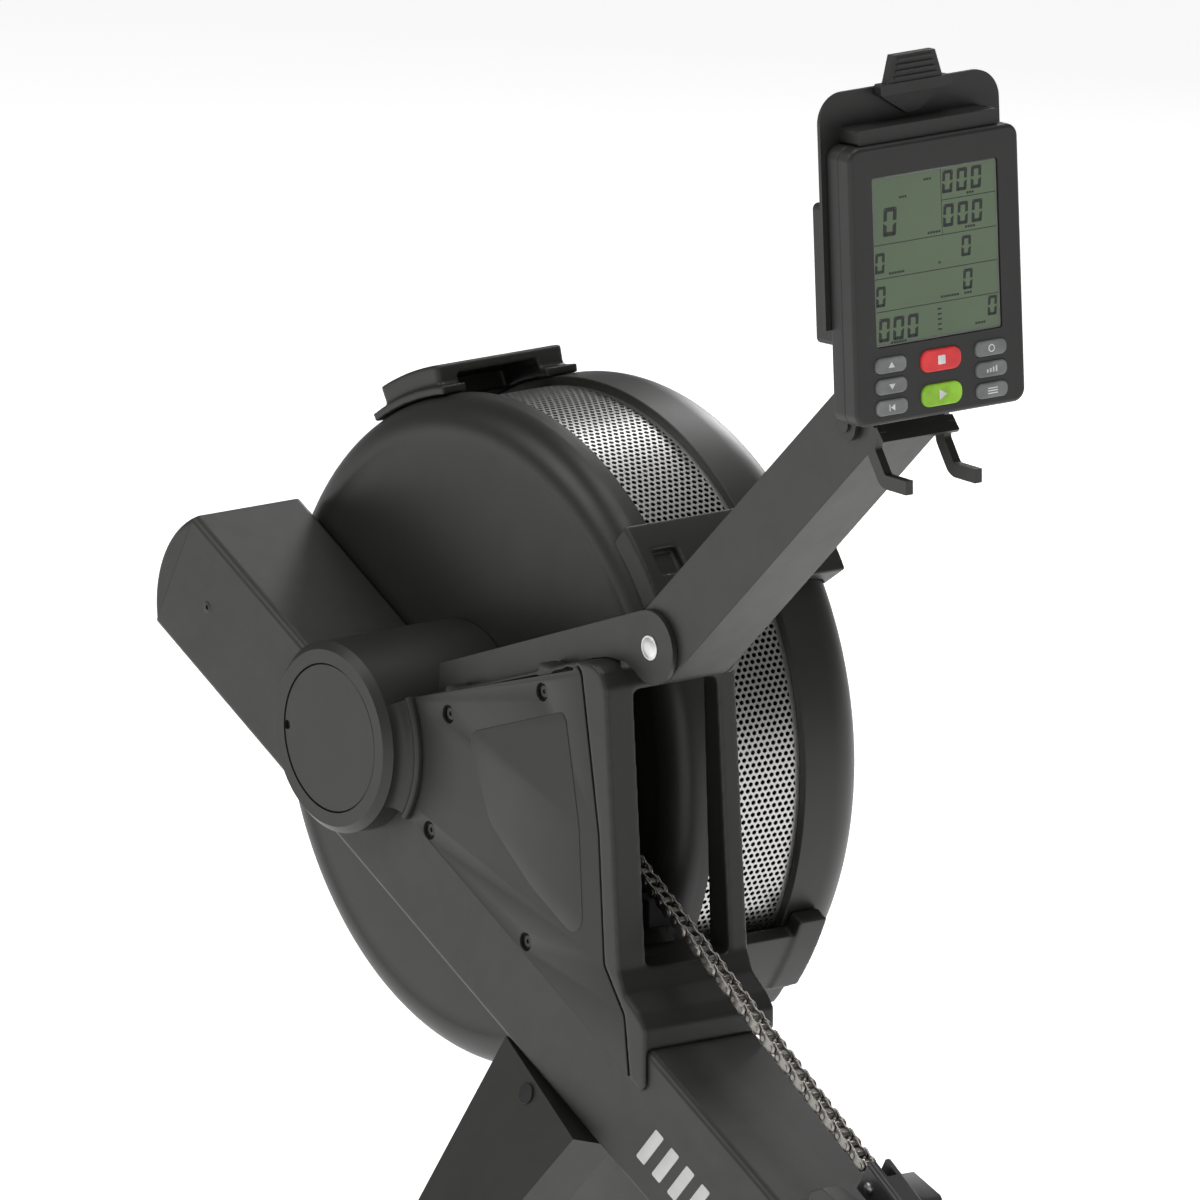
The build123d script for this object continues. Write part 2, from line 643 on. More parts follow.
with BuildPart() as guide_idler:
    with BuildSketch(side(TOOTH_WIDTH / 2)):
        with Locations(IDLER):
            add(sprocket(SPROCKET_TEETH, SPROCKET_PITCH_R, 5 + RUN_GAP))
    extrude(amount=TOOTH_WIDTH)
    with BuildSketch(side(8)):
        with Locations(IDLER):
            Circle(11)
            Circle(5 + RUN_GAP, mode=Mode.SUBTRACT)
    extrude(amount=16)
guide_idler.part.label = "guide_idler"
export_step(guide_idler.part, "parts/guide_idler.step")

CHAIN_END = (508.0, CHAIN_PASS[1] - (508.0 - CHAIN_PASS[0]) * tan(chain_turn))
chain_start = Vector(AXLE_X + IDLER_TANGENT_X, 0, AXLE_Z + IDLER_TANGENT_Z)
chain_finish = Vector(AXLE_X + CHAIN_END[0], 0, AXLE_Z + CHAIN_END[1])
RUN_START = 17.0                           # clear of the idler's teeth
run_plane = Plane(origin=chain_start + CHAIN_DIR * RUN_START, x_dir=(0, 1, 0), z_dir=CHAIN_DIR)
with BuildPart() as chain_run:
    with BuildSketch(run_plane):
        Rectangle(CHAIN_WIDTH, CHAIN_HEIGHT)
    extrude(amount=(chain_finish - chain_start).length - RUN_START - 0.4)
chain_run.part.label = "chain_run"
export_step(chain_run.part, "parts/chain_run.step")

# The rest of the chain: over the idler and the drive sprocket, down inside the beam to the
# travelling pulley and back to its anchor. Two side plates, clear of the sprocket teeth.
top_lean = atan2(IDLER[1], IDLER[0])
half = CHAIN_HEIGHT / 2
idler_start = degrees(radians(90) - chain_turn)
wrap_start = 90 + degrees(top_lean)
wrap_end = 270 - BEAM_SLOPE
with BuildPart() as return_chain:
    for left_edge in (CHAIN_WIDTH / 2, -CHAIN_GAP / 2):
        with BuildSketch(side(left_edge)):
            with Locations(IDLER):
                add(ring_sector(SPROCKET_PITCH_R - half, SPROCKET_PITCH_R + half, idler_start, wrap_start))
            add(ring_sector(SPROCKET_PITCH_R - half, SPROCKET_PITCH_R + half, wrap_start, wrap_end))
            with Locations(Location((0, 0), degrees(top_lean))):
                with Locations((Vector(*IDLER).length / 2, SPROCKET_PITCH_R)):
                    Rectangle(Vector(*IDLER).length, CHAIN_HEIGHT)
            with Locations(Location((IDLER_TANGENT_X, IDLER_TANGENT_Z), -CHAIN_SLOPE)):
                with Locations((RUN_START / 2 - 0.1, 0)):
                    Rectangle(RUN_START - 0.2, CHAIN_HEIGHT)
        extrude(amount=(CHAIN_WIDTH - CHAIN_GAP) / 2)
        with BuildSketch(beam_side(left_edge)):
            with Locations(((AXLE_ALONG + BLOCK_ALONG) / 2, CHAIN_IN_UP)):
                Rectangle(BLOCK_ALONG - AXLE_ALONG, CHAIN_HEIGHT)
            with Locations(((ANCHOR_ALONG + 4 + BLOCK_ALONG) / 2, CHAIN_BACK_UP)):
                Rectangle(BLOCK_ALONG - ANCHOR_ALONG - 4, CHAIN_HEIGHT)
            with Locations((BLOCK_ALONG, BLOCK_UP)):
                add(ring_sector(SPROCKET_PITCH_R - half, SPROCKET_PITCH_R + half, -90, 90))
        extrude(amount=(CHAIN_WIDTH - CHAIN_GAP) / 2)
return_chain.part.label = "return_chain"
export_step(return_chain.part, "parts/return_chain.step")

with BuildPart() as return_pulley:
    with BuildSketch(beam_side(TOOTH_WIDTH / 2)):
        with Locations((BLOCK_ALONG, BLOCK_UP)):
            add(sprocket(SPROCKET_TEETH, SPROCKET_PITCH_R, 4 + RUN_GAP))
    extrude(amount=TOOTH_WIDTH)
    with BuildSketch(beam_side(6)):
        with Locations((BLOCK_ALONG, BLOCK_UP)):
            Circle(10)
            Circle(4 + RUN_GAP, mode=Mode.SUBTRACT)
    extrude(amount=12)
return_pulley.part.label = "return_pulley"
export_step(return_pulley.part, "parts/return_pulley.step")

BLOCK_TAIL = 40.0
with BuildPart() as return_pulley_block:
    for cheek in (10.0, -7.0):
        with BuildSketch(beam_side(cheek)):
            with Locations((BLOCK_ALONG, BLOCK_UP)):
                Circle(11)
            with Locations((BLOCK_ALONG + BLOCK_TAIL / 2, BLOCK_UP)):
                Rectangle(BLOCK_TAIL, 14)
        extrude(amount=3)
    with BuildSketch(beam_side(9)):
        with Locations((BLOCK_ALONG, BLOCK_UP)):
            Circle(4)
    extrude(amount=18)
    with BuildSketch(beam_side(10)):
        with Locations((BLOCK_ALONG + BLOCK_TAIL - 3, BLOCK_UP)):
            Rectangle(6, 14)
    extrude(amount=20)
return_pulley_block.part.label = "return_pulley_block"
export_step(return_pulley_block.part, "parts/return_pulley_block.step")

BUNGEE_START = BLOCK_ALONG + BLOCK_TAIL + 0.3
with BuildPart() as bungee_cord:
    with BuildLine(beam_deck(0, BLOCK_UP)) as bungee_route:
        Line((BUNGEE_START, 0), (BUNGEE_PULLEY_ALONG, 0))
        CenterArc((BUNGEE_PULLEY_ALONG, BUNGEE_PULLEY_R), BUNGEE_PULLEY_R, -90, 180)
        Line((BUNGEE_PULLEY_ALONG, 2 * BUNGEE_PULLEY_R), (BUNGEE_ANCHOR_ALONG, 2 * BUNGEE_PULLEY_R))
    with BuildSketch(Plane(origin=beam_point(BUNGEE_START, BLOCK_UP), x_dir=(0, 1, 0), z_dir=BEAM_DIR)):
        Circle(BUNGEE_R)
    sweep(path=bungee_route.line)
bungee_cord.part.label = "bungee_cord"
export_step(bungee_cord.part, "parts/bungee_cord.step")

with BuildPart() as bungee_pulley:
    with BuildSketch(beam_deck(0, BLOCK_UP - 5)):
        with Locations((BUNGEE_PULLEY_ALONG, BUNGEE_PULLEY_R)):
            Circle(BUNGEE_PULLEY_R - BUNGEE_R - 0.4)
            Circle(4 + RUN_GAP, mode=Mode.SUBTRACT)
    extrude(amount=10)
    for lip in (BLOCK_UP - 7, BLOCK_UP + 5):
        with BuildSketch(beam_deck(0, lip)):
            with Locations((BUNGEE_PULLEY_ALONG, BUNGEE_PULLEY_R)):
                Circle(BUNGEE_PULLEY_R)
                Circle(4 + RUN_GAP, mode=Mode.SUBTRACT)
        extrude(amount=2)
bungee_pulley.part.label = "bungee_pulley"
export_step(bungee_pulley.part, "parts/bungee_pulley.step")

# ---- handle ----------------------------------------------------------------------------
HANDLE_Z = CHAIN_PASS[1] - (HANDLE_AT - CHAIN_PASS[0]) * tan(chain_turn)
HANDLE_HALF = 232.0
HANDLE_STRAIGHT = 48.0                     # half of the straight middle
GRIP_INSET = 14.0                          # grip's inner end, from the bend
YOKE_LENGTH = 62.0
handle_middle = Vector(AXLE_X + HANDLE_AT, 0, AXLE_Z + HANDLE_Z)
arm_reach = (HANDLE_HALF - HANDLE_STRAIGHT) * tan(radians(HANDLE_BEND))
handle_plane = Plane(
    origin=handle_middle, x_dir=(0, 1, 0), z_dir=(-sin(chain_turn), 0, -cos(chain_turn))
)


def grip_plane(sign):
    """Plane square to one of the handle's bent arms, at the grip's inner end."""
    turn = radians(HANDLE_BEND)
    direction = Vector(0, sign * cos(turn), 0) + CHAIN_DIR * sin(turn)
    bend = handle_middle + Vector(0, sign * HANDLE_STRAIGHT, 0)
    return Plane(origin=bend + direction * GRIP_INSET, x_dir=CHAIN_DIR, z_dir=direction)


with BuildPart() as handle_bar:
    with BuildLine(handle_plane) as bar_route:
        FilletPolyline(
            (-HANDLE_HALF, arm_reach), (-HANDLE_STRAIGHT, 0), (HANDLE_STRAIGHT, 0),
            (HANDLE_HALF, arm_reach), radius=60,
        )
    with BuildSketch(Plane(origin=bar_route.line @ 0, z_dir=bar_route.line % 0)):
        Circle(HANDLE_BAR_R)
    sweep(path=bar_route.line)
    # yoke that the chain ends in
    with BuildSketch(Plane(origin=chain_finish - CHAIN_DIR * 0.2, x_dir=(0, 1, 0), z_dir=CHAIN_DIR)):
        RectangleRounded(20, 26, 4)
    extrude(amount=YOKE_LENGTH)
    with BuildSketch(Plane(origin=chain_finish - CHAIN_DIR * 0.3, x_dir=(0, 1, 0), z_dir=CHAIN_DIR)):
        Rectangle(8, 30)
    extrude(amount=15, mode=Mode.SUBTRACT)
handle_bar.part.label = "handle_bar"
export_step(handle_bar.part, "parts/handle_bar.step")

GRIP_LENGTH = (HANDLE_HALF - HANDLE_STRAIGHT) / cos(radians(HANDLE_BEND)) - GRIP_INSET + 4
with BuildPart() as handle_grips:
    for sign in (-1, 1):
        with BuildSketch(grip_plane(sign)):
            Circle(GRIP_R)
        extrude(amount=GRIP_LENGTH)
        with BuildSketch(grip_plane(sign)):
            Circle(HANDLE_BAR_R + 0.05)
        extrude(amount=GRIP_LENGTH - 3.8, mode=Mode.SUBTRACT)
handle_grips.part.label = "handle_grips"
export_step(handle_grips.part, "parts/handle_grips.step")

with BuildPart() as handle_cradle:
    with BuildSketch(beam_deck(0, BEAM_DEPTH / 2 + 0.1)):
        with Locations((592, 0)):
            Rectangle(76, 78)
    extrude(amount=3)
    for arm_right in (38.0, -22.0):
        with BuildSketch(side(arm_right)):
            add(
                outline(
                    (482, beam_top(482) + 1), (488, -216), (501, -211), (530, -221),
                    (538, -232), (540, beam_top(540) + 1),
                )
            )
        extrude(amount=16)
handle_cradle.part.label = "handle_cradle"
export_step(handle_cradle.part, "parts/handle_cradle.step")

# ---- monitor arm -----------------------------------------------------------------------
with BuildPart() as arm_bracket:
    for plate_right in (ARM_SIZE / 2 + 0.3 + BRACKET_THICK, -ARM_SIZE / 2 - 0.3):
        with BuildSketch(side(plate_right)):
            add(
                outline(
                    (70, case_top(70) + FIT_GAP), (72, case_top(72) + 20), (294, 138),
                    (309, 90), (282, 96), (276, 99), (256, 99), (240, case_top(240) + FIT_GAP),
                )
            )
            with Locations(ARM_PIVOT):
                Circle(25)
                Circle(8.4, mode=Mode.SUBTRACT)
        extrude(amount=BRACKET_THICK)
    with BuildSketch(side(ARM_SIZE / 2 + 1)):
        add(
            outline(
                (72, case_top(72) + 20), (250, case_top(250) + 20), (250, case_top(250) + 16),
                (72, case_top(72) + 16),
            )
        )
    extrude(amount=ARM_SIZE + 2)
arm_bracket.part.label = "arm_bracket"
export_step(arm_bracket.part, "parts/arm_bracket.step")

PIN_HALF = ARM_SIZE / 2 + 0.3 + BRACKET_THICK + 0.8
with BuildPart() as arm_pivot_pin:
    with BuildSketch(side(PIN_HALF)):
        with Locations(ARM_PIVOT):
            Circle(8.38)
    extrude(amount=2 * PIN_HALF)
arm_pivot_pin.part.label = "arm_pivot_pin"
export_step(arm_pivot_pin.part, "parts/arm_pivot_pin.step")

TILT_PIN_R = 5.0
with BuildPart() as arm_tube:
    with BuildSketch(arm_side(ARM_SIZE / 2)):
        Circle(ARM_SIZE / 2)
        with Locations((ARM_LENGTH / 2, 0)):
            Rectangle(ARM_LENGTH, ARM_SIZE)
    extrude(amount=ARM_SIZE)
    with BuildSketch(arm_side(ARM_SIZE / 2 - 3)):
        with Locations(((ARM_LENGTH + 32) / 2, 0)):
            Rectangle(ARM_LENGTH - 28, ARM_SIZE - 6)
    extrude(amount=ARM_SIZE - 6, mode=Mode.SUBTRACT)
    with BuildSketch(arm_side(ARM_SIZE / 2)):
        Circle(8.38 + RUN_GAP)
        with Locations((TILT_AT, 0)):
            Circle(TILT_PIN_R + RUN_GAP)
    extrude(amount=ARM_SIZE, mode=Mode.SUBTRACT)
arm_tube.part.label = "arm_tube"
export_step(arm_tube.part, "parts/arm_tube.step")

HOOK_Y = ARM_SIZE / 2 + 0.3
with BuildPart() as handle_hooks:
    with BuildSketch(arm_side(ARM_SIZE / 2)):
        with Locations((ARM_LENGTH + 2, -6)):
            Rectangle(3.4, 42)
    extrude(amount=ARM_SIZE)
    with BuildSketch(arm_side(HOOK_Y + 6)):
        with Locations((ARM_LENGTH + 2, -26)):
            Rectangle(3.4, 12)
    extrude(amount=2 * HOOK_Y + 12)
    for hook_right in (HOOK_Y + 6, -HOOK_Y):
        with BuildSketch(side(hook_right)):
            with BuildLine():
                FilletPolyline((549, 309), (543, 295), (557, 275), (582, 275), radius=8)
            trace(line_width=9.5)
        extrude(amount=6)
handle_hooks.part.label = "handle_hooks"
export_step(handle_hooks.part, "parts/handle_hooks.step")

# ---- monitor ---------------------------------------------------------------------------
LCD_WIDTH = 103.0
LCD_HEIGHT = 113.0
LCD_UP = 15.0
SIDE_BUTTON = (25.5, 10.5, 4.5)            # width, height, corner radius
MAIN_BUTTON = (33.0, 15.0, 6.5)
COLUMN_X = 41.0
SIDE_ROWS = (-53.5, -67.5, -81.5)
BUTTONS = {
    "stop_button": (0.0, -55.5, MAIN_BUTTON),
    "enter_button": (0.0, -78.5, MAIN_BUTTON),
    "up_button": (-COLUMN_X, SIDE_ROWS[0], SIDE_BUTTON),
    "down_button": (-COLUMN_X, SIDE_ROWS[1], SIDE_BUTTON),
    "back_button": (-COLUMN_X, SIDE_ROWS[2], SIDE_BUTTON),
    "target_button": (COLUMN_X, SIDE_ROWS[0], SIDE_BUTTON),
    "interval_button": (COLUMN_X, SIDE_ROWS[1], SIDE_BUTTON),
    "history_button": (COLUMN_X, SIDE_ROWS[2], SIDE_BUTTON),
}
SPLIT = 12.0                               # depth of the front half of the case
with BuildPart() as monitor_front:
    with BuildSketch(monitor_face(SPLIT)):
        RectangleRounded(MONITOR_WIDTH, MONITOR_HEIGHT, 9)
    extrude(amount=SPLIT)
    fillet(monitor_front.faces().sort_by(Axis.X)[-1].edges(), 3)
    with BuildSketch(monitor_face(SPLIT)):
        RectangleRounded(MONITOR_WIDTH - 5, MONITOR_HEIGHT - 5, 6.5)
    extrude(amount=SPLIT - 3, mode=Mode.SUBTRACT)
    with BuildSketch(monitor_face(SPLIT)):
        with Locations((0, LCD_UP)):
            RectangleRounded(LCD_WIDTH, LCD_HEIGHT, 2)
        for x, y, (width, height, corner) in BUTTONS.values():
            with Locations((x, y)):
                RectangleRounded(width + 0.6, height + 0.6, corner)
    extrude(amount=SPLIT, mode=Mode.SUBTRACT)
monitor_front.part.label = "monitor_front"
export_step(monitor_front.part, "parts/monitor_front.step")

with BuildPart() as monitor_back:
    with BuildSketch(monitor_face(MONITOR_DEPTH)):
        RectangleRounded(MONITOR_WIDTH, MONITOR_HEIGHT, 9)
    extrude(amount=MONITOR_DEPTH - SPLIT - 0.1)
    with BuildSketch(monitor_face(MONITOR_DEPTH - 2.5)):
        RectangleRounded(MONITOR_WIDTH - 5, MONITOR_HEIGHT - 5, 6.5)
    extrude(amount=MONITOR_DEPTH - SPLIT, mode=Mode.SUBTRACT)
monitor_back.part.label = "monitor_back"
export_step(monitor_back.part, "parts/monitor_back.step")

with BuildPart() as lcd_screen:
    with BuildSketch(monitor_face(5)):
        with Locations((0, LCD_UP)):
            RectangleRounded(LCD_WIDTH - 0.4, LCD_HEIGHT - 0.4, 1.8)
    extrude(amount=3.6)
    with BuildSketch(monitor_face(7)):
        with Locations((0, LCD_UP)):
            Rectangle(LCD_WIDTH + 8, LCD_HEIGHT + 6)
    extrude(amount=3)
lcd_screen.part.label = "lcd_screen"
export_step(lcd_screen.part, "parts/lcd_screen.step")

BUTTON_DEPTH = 5.5
BUTTON_PROUD = 1.6
for button_name, (x, y, (width, height, corner)) in BUTTONS.items():
    with BuildPart() as button:
        with BuildSketch(monitor_face(BUTTON_DEPTH)):
            with Locations((x, y)):
                RectangleRounded(width, height, corner)
        extrude(amount=BUTTON_DEPTH + BUTTON_PROUD)
        chamfer(button.faces().sort_by(Axis.X)[-1].edges(), 0.8)
    button.part.label = button_name
    export_step(button.part, f"parts/{button_name}.step")

HOLDER_WIDTH = 147.0
HOLDER_TOP = 126.0
HOLDER_LOW = -30.0
BOX_LOW = -44.0
BOX_HIGH = 49.0
tilt_turn = radians(ARM_SLOPE)
TILT = (ARM_PIVOT[0] + TILT_AT * cos(tilt_turn), ARM_PIVOT[1] + TILT_AT * sin(tilt_turn))
BOX_WIDTH = 118.0
with BuildPart() as device_holder:
    with BuildSketch(monitor_face(MONITOR_DEPTH + 3.2)):
        with BuildLine():
            FilletPolyline(
                (-HOLDER_WIDTH / 2, HOLDER_LOW), (-HOLDER_WIDTH / 2, HOLDER_TOP),
                (HOLDER_WIDTH / 2, HOLDER_TOP), (HOLDER_WIDTH / 2, HOLDER_LOW),
                radius=20,
            )
            Line((HOLDER_WIDTH / 2, HOLDER_LOW), (-HOLDER_WIDTH / 2, HOLDER_LOW))
        make_face()
    extrude(amount=3)
    # ledge over the monitor, which a phone stands on
    with BuildSketch(monitor_face(MONITOR_DEPTH + 3.2)):
        with Locations((0, MONITOR_HEIGHT / 2 + 5.3)):
            RectangleRounded(116, 10, 2)
    extrude(amount=MONITOR_DEPTH - 2)
    # rear box, and the two lugs down to the tilt pin
    with BuildSketch(monitor_face(MONITOR_DEPTH + 30)):
        with Locations((0, (BOX_LOW + BOX_HIGH) / 2)):
            RectangleRounded(BOX_WIDTH, BOX_HIGH - BOX_LOW, 4)
    extrude(amount=27)
    with BuildSketch(monitor_face(MONITOR_DEPTH + 27.5)):
        with Locations((0, (BOX_LOW + BOX_HIGH) / 2)):
            Rectangle(BOX_WIDTH - 6, BOX_HIGH - BOX_LOW - 6)
    extrude(amount=24, mode=Mode.SUBTRACT)
    for lug_right in (ARM_SIZE / 2 + 0.3 + 4, -ARM_SIZE / 2 - 0.3):
        with BuildSketch(side(lug_right)):
            add(
                outline(
                    (TILT[0] - 10, TILT[1] + 2), (525, 372), (548, 372), (548, 345),
                    (TILT[0] + 10, TILT[1] - 2),
                )
            )
            with Locations(TILT):
                Circle(11)
        extrude(amount=4)
    with BuildSketch(side(ARM_SIZE / 2 + 6)):
        with Locations(TILT):
            Circle(TILT_PIN_R)
    extrude(amount=ARM_SIZE + 12)
device_holder.part.label = "device_holder"
export_step(device_holder.part, "parts/device_holder.step")

CLIP_LOW = 106.0
with BuildPart() as device_clip:
    # base bar, then the ribbed thumb tab above it
    with BuildSketch(monitor_face(MONITOR_DEPTH - 0.2)):
        with Locations((0, HOLDER_TOP - 2)):
            RectangleRounded(58, 8, 2)
    extrude(amount=8)
    with BuildSketch(monitor_face(MONITOR_DEPTH - 0.2)):
        add(outline((-23, HOLDER_TOP), (23, HOLDER_TOP), (17, HOLDER_TOP + 20), (-17, HOLDER_TOP + 20)))
    extrude(amount=7)
    for rib in (5, 9, 13, 17):
        with BuildSketch(monitor_face(MONITOR_DEPTH - 6.7)):
            with Locations((0, HOLDER_TOP + rib)):
                Rectangle(38 - 0.6 * rib, 1.8)
        extrude(amount=1.6)
    with BuildSketch(monitor_face(MONITOR_DEPTH - 0.2)):
        add(outline((-28, HOLDER_TOP - 5), (28, HOLDER_TOP - 5), (5, CLIP_LOW), (-5, CLIP_LOW)))
    extrude(amount=3)
device_clip.part.label = "device_clip"
export_step(device_clip.part, "parts/device_clip.step")

# ---- front legs and foot ---------------------------------------------------------------
splay = radians(LEG_SPLAY)
LEG_TOP_FRONT = 164.0
LEG_TOP_REAR = 257.0
LEG_LEAN = 0.445                           # forward per unit of drop, front edge
LEG_NECK = -402.0                          # where the flare ends, from the axle
LEG_WIDTH = 49.0
FOOT_X = 14.5
FOOT_DROP = FOOT_Z - AXLE_Z


def beam_bottom(x):
    """Height of the beam's underside over the axle, at x behind the axle."""
    return beam_top(x) - BEAM_DEPTH / cos(radians(BEAM_SLOPE))


def front_edge(z):
    """X of the leg's front edge at height z."""
    return LEG_TOP_FRONT + (z - beam_bottom(LEG_TOP_FRONT)) * LEG_LEAN


def leg_outline(inset, open_top):
    """Leg side view, heights stretched onto the splayed face."""
    grow = 1 / cos(splay)
    z_front = beam_bottom(LEG_TOP_FRONT) - FIT_GAP + open_top
    z_rear = beam_bottom(LEG_TOP_REAR) - FIT_GAP + open_top
    z_foot = FOOT_DROP
    return outline(
        (LEG_TOP_FRONT + inset + LEG_LEAN * open_top, z_front * grow),
        (LEG_TOP_REAR - inset + open_top * 0.8, z_rear * grow),
        (front_edge(LEG_NECK) + LEG_WIDTH - inset, LEG_NECK * grow),
        (front_edge(z_foot) + LEG_WIDTH - inset, z_foot * grow),
        (front_edge(z_foot) + inset, z_foot * grow),
    )


def leg_face(sign, depth):
    """Outer face of a splayed leg, depth inside it; sign is -1 for the left leg."""
    drop = beam_bottom(LEG_TOP_FRONT)
    normal = Vector(0, sign * cos(splay), sin(splay))
    corner = Vector(AXLE_X, sign * (BEAM_WIDTH / 2 - 1 - drop * tan(splay)), AXLE_Z)
    corner = corner + Vector(0, sign * 2 * drop * tan(splay), 0)
    return Plane(origin=corner - normal * depth, x_dir=(1, 0, 0), z_dir=normal)


WHEEL_X = -44.0
WHEEL_Z = 32.0
WHEEL_R = 28.0
WHEEL_AXLE_R = 5.0
WHEEL_BRACKET_Y = 188.0
with BuildPart() as front_legs:
    for sign in (-1, 1):
        with BuildSketch(leg_face(sign, LEG_THICK)):
            leg = leg_outline(0, 0)
            add(leg if sign < 0 else mirror(leg, about=Plane.XZ, mode=Mode.PRIVATE))
        extrude(amount=LEG_THICK)
        with BuildSketch(leg_face(sign, LEG_THICK - 2.5)):
            core = leg_outline(2.5, -3)
            add(core if sign < 0 else mirror(core, about=Plane.XZ, mode=Mode.PRIVATE))
        extrude(amount=LEG_THICK - 5, mode=Mode.SUBTRACT)
        with BuildSketch(leg_face(sign, 4)):
            with Locations((LEG_BOLT[0], -sign * LEG_BOLT[1] / cos(splay))):
                Circle(BOLT_R)
        extrude(amount=6, mode=Mode.SUBTRACT)
    with BuildSketch(side(290)):
        with Locations((FOOT_X, FOOT_DROP)):
            Circle(FOOT_TUBE_R)
    extrude(amount=580)
    with BuildSketch(side(290)):
        with Locations((FOOT_X, FOOT_DROP)):
            Circle(FOOT_TUBE_R - 2.5)
    extrude(amount=580, mode=Mode.SUBTRACT)
    for bracket_y in (WHEEL_BRACKET_Y, -WHEEL_BRACKET_Y + 4):
        with BuildSketch(side(bracket_y)):
            add(
                outline(
                    (FOOT_X - 14, FOOT_DROP + 16), (WHEEL_X, WHEEL_Z - AXLE_Z + 11),
                    (WHEEL_X, WHEEL_Z - AXLE_Z - 11), (FOOT_X - 14, FOOT_DROP - 14),
                )
            )
            with Locations((WHEEL_X, WHEEL_Z - AXLE_Z)):
                Circle(11)
                Circle(WHEEL_AXLE_R + RUN_GAP, mode=Mode.SUBTRACT)
        extrude(amount=4)
front_legs.part.label = "front_legs"
export_step(front_legs.part, "parts/front_legs.step")

with BuildPart() as transport_wheels:
    with BuildSketch(side(222)):
        with Locations((WHEEL_X, WHEEL_Z - AXLE_Z)):
            Circle(WHEEL_AXLE_R)
    extrude(amount=444)
    for wheel_right in (219.0, -195.0):
        with BuildSketch(side(wheel_right)):
            with Locations((WHEEL_X, WHEEL_Z - AXLE_Z)):
                Circle(WHEEL_R)
        extrude(amount=24)
transport_wheels.part.label = "transport_wheels"
export_step(transport_wheels.part, "parts/transport_wheels.step")

# ---- rail, its bracket and the rear leg ------------------------------------------------
RAIL_Z = RAIL_TOP - AXLE_Z                 # rail top from the axle
with BuildPart() as rail:
    with BuildSketch(Plane.YZ.offset(AXLE_X + RAIL_FRONT)):
        with Locations((0, RAIL_TOP - RAIL_DEPTH / 2)):
            Rectangle(RAIL_BODY, RAIL_DEPTH)
        with Locations((0, RAIL_TOP - RAIL_FLANGE_THICK / 2)):
            Rectangle(RAIL_FLANGE, RAIL_FLANGE_THICK)
        with Locations((0, RAIL_TOP - RAIL_FLANGE_THICK / 2 - RAIL_DEPTH / 2)):
            Rectangle(RAIL_BODY - 6, RAIL_DEPTH - RAIL_FLANGE_THICK - 6, mode=Mode.SUBTRACT)
    extrude(amount=RAIL_REAR - RAIL_FRONT)
rail.part.label = "rail"
export_step(rail.part, "parts/rail.step")

BRACKET_Y = BEAM_WIDTH / 2 + 0.3
RAIL_LOW = RAIL_Z - RAIL_DEPTH
with BuildPart() as rail_mount_bracket:
    for plate_right in (BRACKET_Y + BRACKET_THICK, -BRACKET_Y):
        with BuildSketch(side(plate_right)):
            add(
                outline(
                    (575, -325), (600, -308), (680, RAIL_Z - 4), (775, RAIL_Z - 12),
                    (775, RAIL_LOW - 4), (690, -440), (655, -440), (610, -402),
                )
            )
            with Locations(*BRACKET_BOLTS):
                Circle(BOLT_R + 0.1, mode=Mode.SUBTRACT)
            with Locations(FRONT_ROD, REAR_ROD):
                Circle(ROD_R + 0.05, mode=Mode.SUBTRACT)
        extrude(amount=BRACKET_THICK)
    # saddle blocks between the plates and the rail's web
    for y_mid in (-1, 1):
        with BuildSketch(side(y_mid * (BRACKET_Y + 25.2) / 2 + (BRACKET_Y - 24.8) / 2)):
            with Locations((735, RAIL_Z - 33)):
                Rectangle(70, 42)
        extrude(amount=BRACKET_Y - 24.8)
    with BuildSketch(side(BRACKET_Y + 1)):
        with Locations((735, RAIL_LOW - 2.2)):
            Rectangle(70, 4)
    extrude(amount=2 * BRACKET_Y + 2)
rail_mount_bracket.part.label = "rail_mount_bracket"
export_step(rail_mount_bracket.part, "parts/rail_mount_bracket.step")

with BuildPart() as rail_end_stops:
    for stop_x in (795.0, 2045.0):
        with BuildSketch(Plane.XY.offset(RAIL_TOP + 0.1)):
            with Locations((AXLE_X + stop_x, 0)):
                RectangleRounded(20, 30, 5)
        extrude(amount=24)
rail_end_stops.part.label = "rail_end_stops"
export_step(rail_end_stops.part, "parts/rail_end_stops.step")

